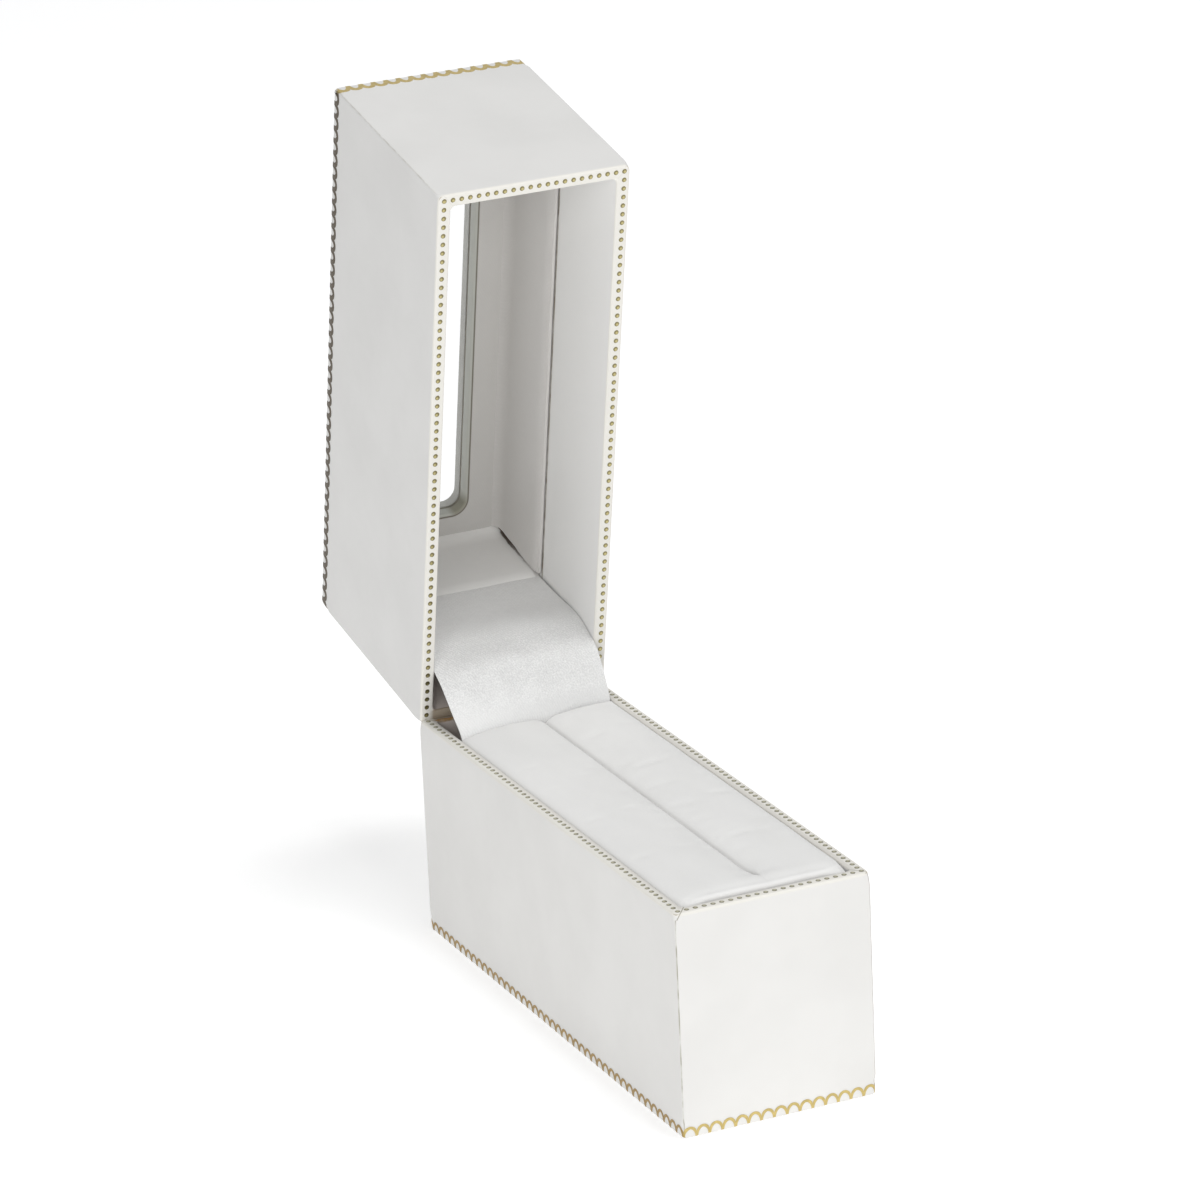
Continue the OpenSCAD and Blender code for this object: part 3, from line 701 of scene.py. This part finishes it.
def lid_cover():
    """The paper over the lid: in as far as the linings, over the rim, up the outside and in round the window."""
    edge, lip, win_edge, t = 0.35, 0.35, 0.3, PAPER
    deep, low = LID_RIM_Z + 23, PANE_Z + PANE_T
    win_w, win_l = WINDOW_W / 2 - 0.1, WINDOW_L / 2 - 0.1

    def window_loop(grow, r, z):
        return rounded_loop(win_w + grow, win_l + grow, r, z)

    loops = [box_loop(RIM, RIM_CORNER_R, deep)]
    loops += [box_loop(RIM - d, RIM_CORNER_R + d, LID_RIM_Z + e) for d, e in quarter(lip)]
    loops += [box_loop(d, CORNER_TOP_R, LID_RIM_Z + e) for d, e in reversed(quarter(edge))]
    loops += [box_loop(0, r, LID_RIM_Z + e) for e, r in reversed(CORNER_EASE)]
    loops += [box_loop(0, r, LID_TOP_Z - down) for down, r in reversed(END_EASE)]
    loops += [box_loop(d, END_CORNER_R - d, LID_TOP_Z - e) for d, e in quarter(END_EDGE_R)]
    loops += [window_loop(e, WINDOW_R + e, LID_TOP_Z - d) for d, e in quarter(win_edge)]
    loops += [window_loop(0, WINDOW_R, low), window_loop(t, WINDOW_R + t, low)]
    loops += [window_loop(t, WINDOW_R + t, LID_TOP_Z - 0.5), window_loop(0.6, WINDOW_R, LID_TOP_Z - t)]
    loops += [box_loop(edge, END_CORNER_R - edge, LID_TOP_Z - t), box_loop(t, END_CORNER_R, LID_TOP_Z - edge)]
    loops += [box_loop(t, r, LID_TOP_Z - down) for down, r in END_EASE]
    loops += [box_loop(t, r, LID_RIM_Z + e) for e, r in CORNER_EASE]
    loops += [box_loop(t, CORNER_TOP_R, LID_RIM_Z + edge), box_loop(edge, CORNER_TOP_R, LID_RIM_Z + t)]
    loops += [box_loop(RIM - lip, RIM_CORNER_R, LID_RIM_Z + t), box_loop(RIM - t, RIM_CORNER_R, LID_RIM_Z + lip)]
    loops += [box_loop(RIM - t, RIM_CORNER_R, deep)]
    obj = loft("lid_cover", loops)
    cut(obj, *hinge_cutters(-1))
    return place(obj, "lid", LID_PAPER, ["lid_wrap"], 40)


# ---- gold foil ----
def perimeter_point(s, half_w, half_l, r):
    """The point at length s round a rounded rectangle, from the start of its front side, and the way out there."""
    side_w, side_l, arc = 2 * (half_w - r), 2 * (half_l - r), pi * r / 2
    s %= 2 * (side_w + side_l) + 4 * arc
    corners = ((1, -1, -90, side_w), (1, 1, 0, side_l), (-1, 1, 90, side_w), (-1, -1, 180, side_l))
    for sx, sy, start, side in corners:
        cx, cy, a = sx * (half_w - r), sy * (half_l - r), radians(start)
        if s <= side:
            back = side - s
            return cx + r * cos(a) + back * sin(a), cy + r * sin(a) - back * cos(a), cos(a), sin(a)
        s -= side
        if s <= arc:
            a += s / r
            return cx + r * cos(a), cy + r * sin(a), cos(a), sin(a)
        s -= arc
    return perimeter_point(0, half_w, half_l, r)


def scallop_ring(name, edge_z, up, height, foot, line, half_foot):
    """Gold scallops all round, feet on the edge at edge_z, standing towards up (1 or -1).

    height is to the arch's outside, line its thickness at the top, foot where two arches part, and half_foot half a
    foot's width."""
    pitch_wanted, steps, edge_r, low = 2.33, 12, END_EDGE_R, 0.22
    around = 4 * (HALF_W + HALF_L) - 8 * END_CORNER_R + 2 * pi * END_CORNER_R
    count = round(around / pitch_wanted)
    pitch = around / count
    start_at = -END_CORNER_R
    points, faces = [], []

    def add(s, h):
        x, y, nx, ny = perimeter_point(start_at + s, HALF_W, HALF_L, END_CORNER_R)
        sunk = edge_r - sqrt(edge_r**2 - (edge_r - h) ** 2) if h < edge_r else 0
        off = 0.035 - sunk
        points.append((x + nx * off, y + ny * off, edge_z + up * h))
        return len(points) - 1

    for i in range(count):
        wobble = 0.05 * noise.noise(Vector((i * 1.7, up, 0)))
        outer, inner = [], []
        for k in range(steps + 1):
            t = pi * k / steps
            mid = (i + 0.5) * pitch
            outer.append(add(mid - pitch / 2 * cos(t), foot + (height + wobble - foot) * sin(t)))
            narrow = abs(cos(t)) ** 1.2 * (1 if cos(t) > 0 else -1)
            inner.append(add(mid - (pitch / 2 - half_foot) * narrow, low + (height - line + wobble - low) * sin(t)))
        for k in range(steps):
            faces.append((outer[k], outer[k + 1], inner[k + 1], inner[k]))
        faces.append((outer[0], inner[0], add(i * pitch, low)))
        faces.append((outer[-1], add((i + 1) * pitch, low), inner[-1]))
    obj = mesh_object(name, points, faces)
    solid = obj.modifiers.new("thickness", "SOLIDIFY")
    solid.thickness = 0.04
    solid.offset = 0
    return obj


def rim_dots(name, z, up):
    """Dished gold dots down both long rims and across the front rim."""
    radius, inset, sides = 0.43, DOT_INSET, 18
    places = [(-HALF_W + inset + i * DOT_STEP_W, -HALF_L + inset) for i in range(1, DOTS_ACROSS)]
    for side in (-1, 1):
        places += [(side * (HALF_W - inset), -HALF_L + inset + i * DOT_STEP_L) for i in range(DOTS_ALONG + 1)]
    rings = ((1.0, 0.0), (0.97, 0.04), (0.82, 0.055), (0.55, 0.035), (0.25, 0.015))
    points, faces = [], []
    for n, (cx, cy) in enumerate(places):
        cx += 0.03 * noise.noise(Vector((n * 0.9, up, 3)))
        cy += 0.03 * noise.noise(Vector((n * 1.3, up, 7)))
        tilt = 0.012 * noise.noise(Vector((n * 0.7, up, 11)))
        first = len(points)
        for share, h in rings:
            for k in range(sides):
                a, reach = 2 * pi * k / sides, radius * share
                height = h - 0.01 + tilt * share * cos(a + n)
                points.append((cx + reach * cos(a), cy + reach * sin(a), z + up * height))
        points.append((cx, cy, z + up * 0.01))
        for ring in range(len(rings) - 1):
            a, b = first + ring * sides, first + (ring + 1) * sides
            faces += [(a + k, a + (k + 1) % sides, b + (k + 1) % sides, b + k) for k in range(sides)]
        last_ring, tip = first + (len(rings) - 1) * sides, len(points) - 1
        faces += [(last_ring + k, last_ring + (k + 1) % sides, tip) for k in range(sides)]
        faces.append(tuple(first + k for k in range(sides)))
    return mesh_object(name, points, faces)


# ---- the pad ----
def pad_height(x, y):
    """Height of the pad's top over its crown, with two crowned rolls and the slit between them."""
    slit_x = SLIT_FRONT + (SLIT_BACK - SLIT_FRONT) * min(1.0, max(0.0, (y + 40) / 85))
    depth = smooth_step(-44.4, -43.0, y)
    roll_half = PAD_HALF_W / 2
    off = abs(x - slit_x)
    across = abs(off - roll_half) / roll_half
    drop = 0.45 * min(1.3, across) ** 2 * (0.35 + 0.65 * depth if off < roll_half else 1)
    roll_r = 2.6 * (0.2 + 0.8 * smooth_step(-44.0, -37.0, y))
    if off < roll_r:
        drop += depth * 1.0 * (1 - off / roll_r) ** 2
    drop += 0.1 * smooth_step(-43, -48, y)
    drop += 0.07 * noise.noise(Vector((x / 6, y / 9, 0)))
    return -drop


def velvet_pad():
    """The pad: a crowned, closed velvet form, its edges rolled over, slit lengthwise except at the front."""
    edge_r, corner_r, soft_r, steps = 1.6, 1.4, 4.0, 8
    border = [edge_r * (1 - cos(pi / 2 * k / steps)) for k in range(steps + 1)]
    slit_x = (SLIT_FRONT + SLIT_BACK) / 2
    near = [0.1, 0.2, 0.33, 0.5, 0.7, 0.95, 1.25, 1.7, 2.4]
    near_slit, inner = near[-1], PAD_HALF_W - edge_r
    near = [-n for n in reversed(near)] + [0] + near
    xs = [-PAD_HALF_W + b for b in border] + [slit_x + n for n in near] + [PAD_HALF_W - b for b in reversed(border)]
    xs += [-inner + (slit_x - near_slit + inner) * k / 9 for k in range(1, 9)]
    xs += [slit_x + near_slit + (inner - slit_x - near_slit) * k / 9 for k in range(1, 9)]
    xs = sorted(xs)
    ys = [PAD_FRONT + b for b in border] + [PAD_BACK - b for b in reversed(border)]
    rows = 90
    ys += [PAD_FRONT + edge_r + (PAD_BACK - PAD_FRONT - 2 * edge_r) * k / rows for k in range(1, rows)]
    ys = sorted(ys)
    points = []
    for y in ys:
        for x in xs:
            from_side, from_front = PAD_HALF_W - abs(x), y - PAD_FRONT
            px, py = x, y
            if from_side < corner_r and from_front < corner_r:
                # squares the corner's cells round: the square's edge goes to the arc's
                a, b = corner_r - from_side, corner_r - from_front
                shrink = max(a, b) / max(hypot(a, b), 0.001)
                px = (abs(x) - a + a * shrink) * (1 if x > 0 else -1)
                py = y + b - b * shrink
                from_edge = corner_r - max(a, b)
            else:
                from_edge = min(from_side, from_front)
            d = max(0.0, min(from_edge, PAD_BACK - y))
            side_r = 1.5 + 1.0 * smooth_step(-8, 8, x)
            r = 0.75 + (side_r - 0.75) * (smooth_step(corner_r + 2, corner_r, from_side) if from_front < 3 else 1)
            roll = min(r, 0.95) * (1 - sqrt(max(0.0, 1 - (1 - d / r) ** 2))) if d < r else 0
            if from_side < soft_r and from_front < soft_r:
                roll += 0.7 * smooth_step(-0.9, 1.3, hypot(soft_r - from_side, soft_r - from_front) - soft_r)
            skew = PAD_SKEW * px / PAD_HALF_W * smooth_step(0, PAD_BACK, y)
            points.append((px, py + skew, PAD_TOP + pad_height(px, py) - roll))
    n, m = len(xs), len(ys)
    faces = grid_faces(m, n)
    border_ring = list(range(n)) + [j * n + n - 1 for j in range(1, m)]
    border_ring += [(m - 1) * n + i for i in range(n - 2, -1, -1)] + [j * n for j in range(m - 2, 0, -1)]
    previous = border_ring
    for k, z in enumerate((37.0, 34.0, 30.0, PAD_LOW)):
        ring = []
        for index in border_ring:
            x, y, _ = points[index]
            ring.append(len(points))
            points.append((x, y, z))
        count = len(ring)
        faces += [(previous[q], ring[q], ring[(q + 1) % count], previous[(q + 1) % count]) for q in range(count)]
        previous = ring
    faces.append(tuple(previous))
    obj = mesh_object("velvet_pad", points, faces)

    def held(at):
        by_slit = 1 - smooth_step(0.5, 1.6, abs(at.x - (SLIT_FRONT + SLIT_BACK) / 2))
        from_edge = min(PAD_HALF_W - abs(at.x), at.y - PAD_FRONT, PAD_BACK - at.y)
        by_edge = 1 - smooth_step(0.3, 2.5, from_edge)
        return max(by_slit * smooth_step(-44, -42, at.y), by_edge, 1.0 if at.z < 37 else 0.0)

    settle(obj, held, 2.0, 0.005, 0.2)
    place(obj, "base", VELVET, ["pad_cover"], 60)
    return obj


# ---- the satin flap ----
def curve_through(points, count):
    """Points evenly along a smooth curve through the given (y, z) points."""
    dense = []
    for k in range(len(points) - 1):
        p = [Vector(points[min(max(k + m, 0), len(points) - 1)]) for m in (-1, 0, 1, 2)]
        for q in range(12):
            t = q / 12
            square = (2 * p[0] - 5 * p[1] + 4 * p[2] - p[3]) * t * t
            cube = (3 * p[1] - p[0] - 3 * p[2] + p[3]) * t**3
            dense.append(0.5 * (2 * p[1] + (p[2] - p[0]) * t + square + cube))
    dense.append(Vector(points[-1]))
    lengths = [0.0]
    for a, b in zip(dense, dense[1:]):
        lengths.append(lengths[-1] + (b - a).length)
    even, k = [], 0
    for n in range(count + 1):
        want = lengths[-1] * n / count
        while k < len(dense) - 2 and lengths[k + 1] < want:
            k += 1
        t = (want - lengths[k]) / (lengths[k + 1] - lengths[k])
        even.append(dense[k].lerp(dense[k + 1], min(1.0, t)))
    return even, lengths[-1]


def satin_flap():
    """The flap, from behind the pad round into the lid, its left edge drawn further forward than its right."""
    slope = radians(90 - OPEN_ANGLE)

    def under_lining(y, off):
        y0, z0 = PIN.y - off * cos(radians(OPEN_ANGLE)), PIN.z + off * sin(radians(OPEN_ANGLE))
        return (y, z0 + tan(slope) * (y - y0))

    top = [under_lining(62.0, 10.3), under_lining(68.5, 10.1), under_lining(72.5, 9.7), under_lining(76.0, 9.55)]
    left = [(38.4, 30.4), (38.45, 36.5), (38.9, 39.8), (41.5, 42.3), (45.0, 45.3), (49.0, 48.1), (54.5, 50.9)]
    right = [(41.75, 30.4), (41.8, 36.5), (42.0, 39.8), (43.6, 42.9), (45.6, 45.6), (48.9, 48.3), (54.3, 51.2)]
    rows, columns = 72, 40
    left_line, left_length = curve_through(left + top, rows)
    right_line, right_length = curve_through(right + top, rows)
    points = []
    for j in range(rows + 1):
        for i in range(columns + 1):
            u = -1 + 2 * i / columns
            share = smooth_step(-1, 1, u)
            at = left_line[j].lerp(right_line[j], share)
            along = (left_line[min(rows, j + 1)] - left_line[max(0, j - 1)]).normalized()
            free = smooth_step(0.16, 0.4, j / rows) * (1 - smooth_step(0.55, 0.8, j / rows))
            bulge = free * (0.9 * (1 - u**4) + 0.3 * noise.noise(Vector((u * 2.2, j / 16, 5))))
            over_pad = 1.0 - smooth_step(0.12, 0.3, j / rows)
            lift = -0.3 * over_pad * abs(u) ** 3
            points.append((u * (FLAP_HALF_W + 0.2 * free), at.x - along.y * bulge, at.y + along.x * bulge + lift))
    obj = mesh_object("satin_flap_cloth", points, grid_faces(rows + 1, columns + 1))
    settle(obj, lambda at: max(1 - smooth_step(40.0, 43.5, at.z), smooth_step(49.6, 52.0, at.z)), 0.0, 0.005, 0.4)
    room = IN_W - 0.15
    for v in obj.data.vertices:
        v.co.x = max(-room, min(room, v.co.x))
    solid = obj.modifiers.new("thickness", "SOLIDIFY")
    solid.thickness = FLAP_T
    solid.offset = 0
    place(obj, None, FLAP_SATIN, ["satin_flap"], 50)
    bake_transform(obj)
    return obj


# ---- the lid's linings and pane ----
def top_lining():
    """The padded lining under the lid's top: a ring round the window, crowned between its edges."""
    z0, z1 = TOP_LINING_Z, PANE_Z
    y_low, y_high = LINING_FRONT, HINGE_LINING_Y
    mid_y, half_l = (y_low + y_high) / 2, (y_high - y_low) / 2
    win_w, win_l = WINDOW_W / 2, WINDOW_L / 2

    def ring(share, z, grow=0.0):
        outer = rounded_loop(LINING_W - grow, half_l - grow * 0.2, 0.6, z)
        window = rounded_loop(win_w + grow, win_l + grow, WINDOW_R + grow, z)
        return [
            ((1 - share) * a[0] + share * b[0], (1 - share) * (a[1] + mid_y) + share * b[1], z)
            for a, b in zip(outer, window)
        ]

    r = 0.45
    loops = [ring(0, z1)]
    loops += [ring(0, z0 + e, d) for d, e in quarter(r)]
    loops += [ring(k / 12, z0 - 0.45 * sin(pi * k / 12) ** 0.7, r) for k in range(1, 12)]
    loops += [ring(1, z0 + e, d) for d, e in reversed(quarter(r))]
    loops += [ring(1, z1)]
    obj = loft("top_lining", loops)
    place(obj, "lid", TOP_SATIN, ["lid_top_lining"], 50)
    return obj


def cove(obj, axis, towards, face, end, radius):
    """Bends a lining's face round into the lining under the lid's top, so that no sharp corner shows."""
    for v in obj.data.vertices:
        if abs(v.co[axis] - face) < 0.5 and v.co.z > end - radius:
            t = min(1.0, (v.co.z - end + radius) / radius)
            v.co[axis] += towards * radius * (1 - sqrt(1 - t * t)) * 0.9


def thin_edge(obj, axis, towards, face):
    """Draws a lining's open edge back, thin where it ends and standing a little off the wall behind it."""
    for v in obj.data.vertices:
        share = 1 - smooth_step(LINING_Z, LINING_Z + 1.6, v.co.z)
        if abs(v.co[axis] - face) < 0.5:
            v.co[axis] += towards * 0.45 * share
        else:
            v.co[axis] -= towards * 0.22 * share


def linings():
    top_lining()
    back, inner = HINGE_LINING_Y, LINING_W - LINING_T
    for side, name in ((-1, "left"), (1, "right")):
        xs = sorted((side * LINING_W, side * inner))
        low, high = (xs[0], LINING_FRONT + LINING_T, LINING_Z), (xs[1], back, TOP_LINING_Z)
        obj = slab(f"wall_lining_{name}", low, high, LINING_EDGE_R, LINING_CELL, 0.12, 3.0 + side)
        cove(obj, 0, -side, side * inner, TOP_LINING_Z, COVE_R)
        thin_edge(obj, 0, side, side * inner)
        for v in obj.data.vertices:
            open_seam = smooth_step(LINING_Z + 2, TOP_LINING_Z, v.co.z) * smooth_step(back - 2, back, v.co.y)
            if v.co.y > back - 2:
                v.co.y -= (0.12 + open_seam) * (1 + 0.3 * noise.noise(v.co * 0.8))
        place(obj, "lid", LINING_SATIN, [f"lid_lining_{name}"], 50)
    low, high = (-LINING_W, LINING_FRONT, LINING_Z), (LINING_W, LINING_FRONT + LINING_T, TOP_LINING_Z)
    obj = slab("front_lining", low, high, LINING_EDGE_R, LINING_CELL, 0.1, 9)
    cove(obj, 1, 1, LINING_FRONT + LINING_T, TOP_LINING_Z, COVE_R)
    place(obj, "lid", LINING_SATIN, ["lid_lining_front"], 50)
    low, high = (-LINING_W, back, LINING_Z), (LINING_W, back + LINING_T, PANE_Z)
    obj = slab("hinge_lining", low, high, 0.35, LINING_CELL, 0.14, 14)
    cove(obj, 1, -1, back, TOP_LINING_Z, COVE_R)
    thin_edge(obj, 1, 1, back)
    place(obj, "lid", END_SATIN, ["lid_lining_hinge"], 50)


def pane():
    half_w, half_l = 10.8, 37.4
    low, high = (-half_w, -half_l, PANE_Z), (half_w, half_l, PANE_Z + PANE_T)
    obj = slab("clear_pane", low, high, r=0.08, cell=40, wave=0.0)
    return place(obj, "lid", CLEAR, ["window_pane"], 50)


# ---- the CAD nodes that stay ----
def finish_cad_nodes():
    finishes = {
        BOARD: ["base_tray", "lid_shell"],
        CARD: ["pad_riser", "pad_board", "lid_hinge_block"],
        FOAM: ["pad_foam"],
        STEEL: ["hinge_base_leaf", "hinge_lid_leaf", "hinge_pin", "hinge_spring"],
        BRASS: ["base_hinge_rivets", "lid_hinge_rivets"],
        PLAIN_PAPER: ["base_bottom_sheet"],
    }
    for material, nodes in finishes.items():
        for node in nodes:
            slots = frame["nodes"][node].data.materials
            slots.clear()
            slots.append(material)


# ---- floor, light and camera ----
def floor():
    bpy.ops.mesh.primitive_circle_add(vertices=96, radius=3, fill_type="NGON")
    obj = bpy.context.object
    obj.name = "floor"
    s = Shader("floor")
    grain = s.noise(2.0, 3)
    color = s.mix(s.ramp(grain, 0.3, 0.7), (0.8, 0.8, 0.8), (0.82, 0.82, 0.82))
    glow = {"Emission_Color": (1, 1, 1, 1), "Emission_Strength": 0.44, "Specular_IOR_Level": 0.0}
    s.finish(color, 0.9, s.bump(grain, 0.02, 0.1), **glow)
    obj.data.materials.append(s.material)


def light(name, at, power, size, target=(0, 0, 0.06)):
    lamp = bpy.data.lights.new(name, "AREA")
    lamp.energy = power
    lamp.size = size
    obj = bpy.data.objects.new(name, lamp)
    bpy.context.scene.collection.objects.link(obj)
    obj.location = at
    obj.rotation_euler = (Vector(target) - Vector(at)).to_track_quat("-Z", "Y").to_euler()


def lights():
    world = bpy.data.worlds.new("studio")
    bpy.context.scene.world = world
    world.use_nodes = True
    world.node_tree.nodes["Background"].inputs["Color"].default_value = (0.98, 0.99, 1.0, 1)
    world.node_tree.nodes["Background"].inputs["Strength"].default_value = 0.36
    light("front_key", (-0.88, -1.38, 0.5), 9.2, 0.9)
    light("top_fill", (0.33, -0.38, 1.7), 16.3, 1.0)


def camera():
    """The photograph's viewpoint: azimuth, elevation and roll of the line of sight, and a long lens."""
    at, lens = (-0.394127, -0.865364, 0.413157), 183.345
    azimuth, elevation, roll = radians(24.2095), radians(19.637), radians(-2.6025)
    forward = Vector((sin(azimuth) * cos(elevation), cos(azimuth) * cos(elevation), -sin(elevation)))
    level = Vector((cos(azimuth), -sin(azimuth), 0))
    above = level.cross(forward)
    right = level * cos(roll) + above * sin(roll)
    up = right.cross(forward)
    data = bpy.data.cameras.new("camera")
    data.lens = lens
    data.sensor_width = 36
    data.clip_end = 20
    obj = bpy.data.objects.new("camera", data)
    bpy.context.scene.collection.objects.link(obj)
    axes = Matrix((right, up, -forward)).transposed()
    obj.matrix_world = Matrix.Translation(at) @ axes.to_4x4()
    bpy.context.scene.camera = obj


base_cover()
lid_cover()
base_foil = scallop_ring("base_scallop_foil", FOOT_Z, 1, height=2.05, foot=0.95, line=0.45, half_foot=0.25)
lid_foil = scallop_ring("lid_scallop_foil", LID_TOP_Z, -1, height=2.3, foot=1.45, line=0.72, half_foot=0.42)
place(base_foil, "base", BASE_FOIL, ["base_scallops"])
place(lid_foil, "lid", LID_FOIL, ["lid_scallops"])
place(rim_dots("base_dots", BASE_H, 1), "base", BASE_DOT_FOIL, ["base_rim_dots"])
place(rim_dots("lid_dots", LID_RIM_Z, -1), "lid", LID_DOT_FOIL, ["lid_rim_dots"])
velvet_pad()
satin_flap()
linings()
pane()
finish_cad_nodes()
floor()
lights()
camera()
bpy.context.scene.view_settings.view_transform = "Standard"
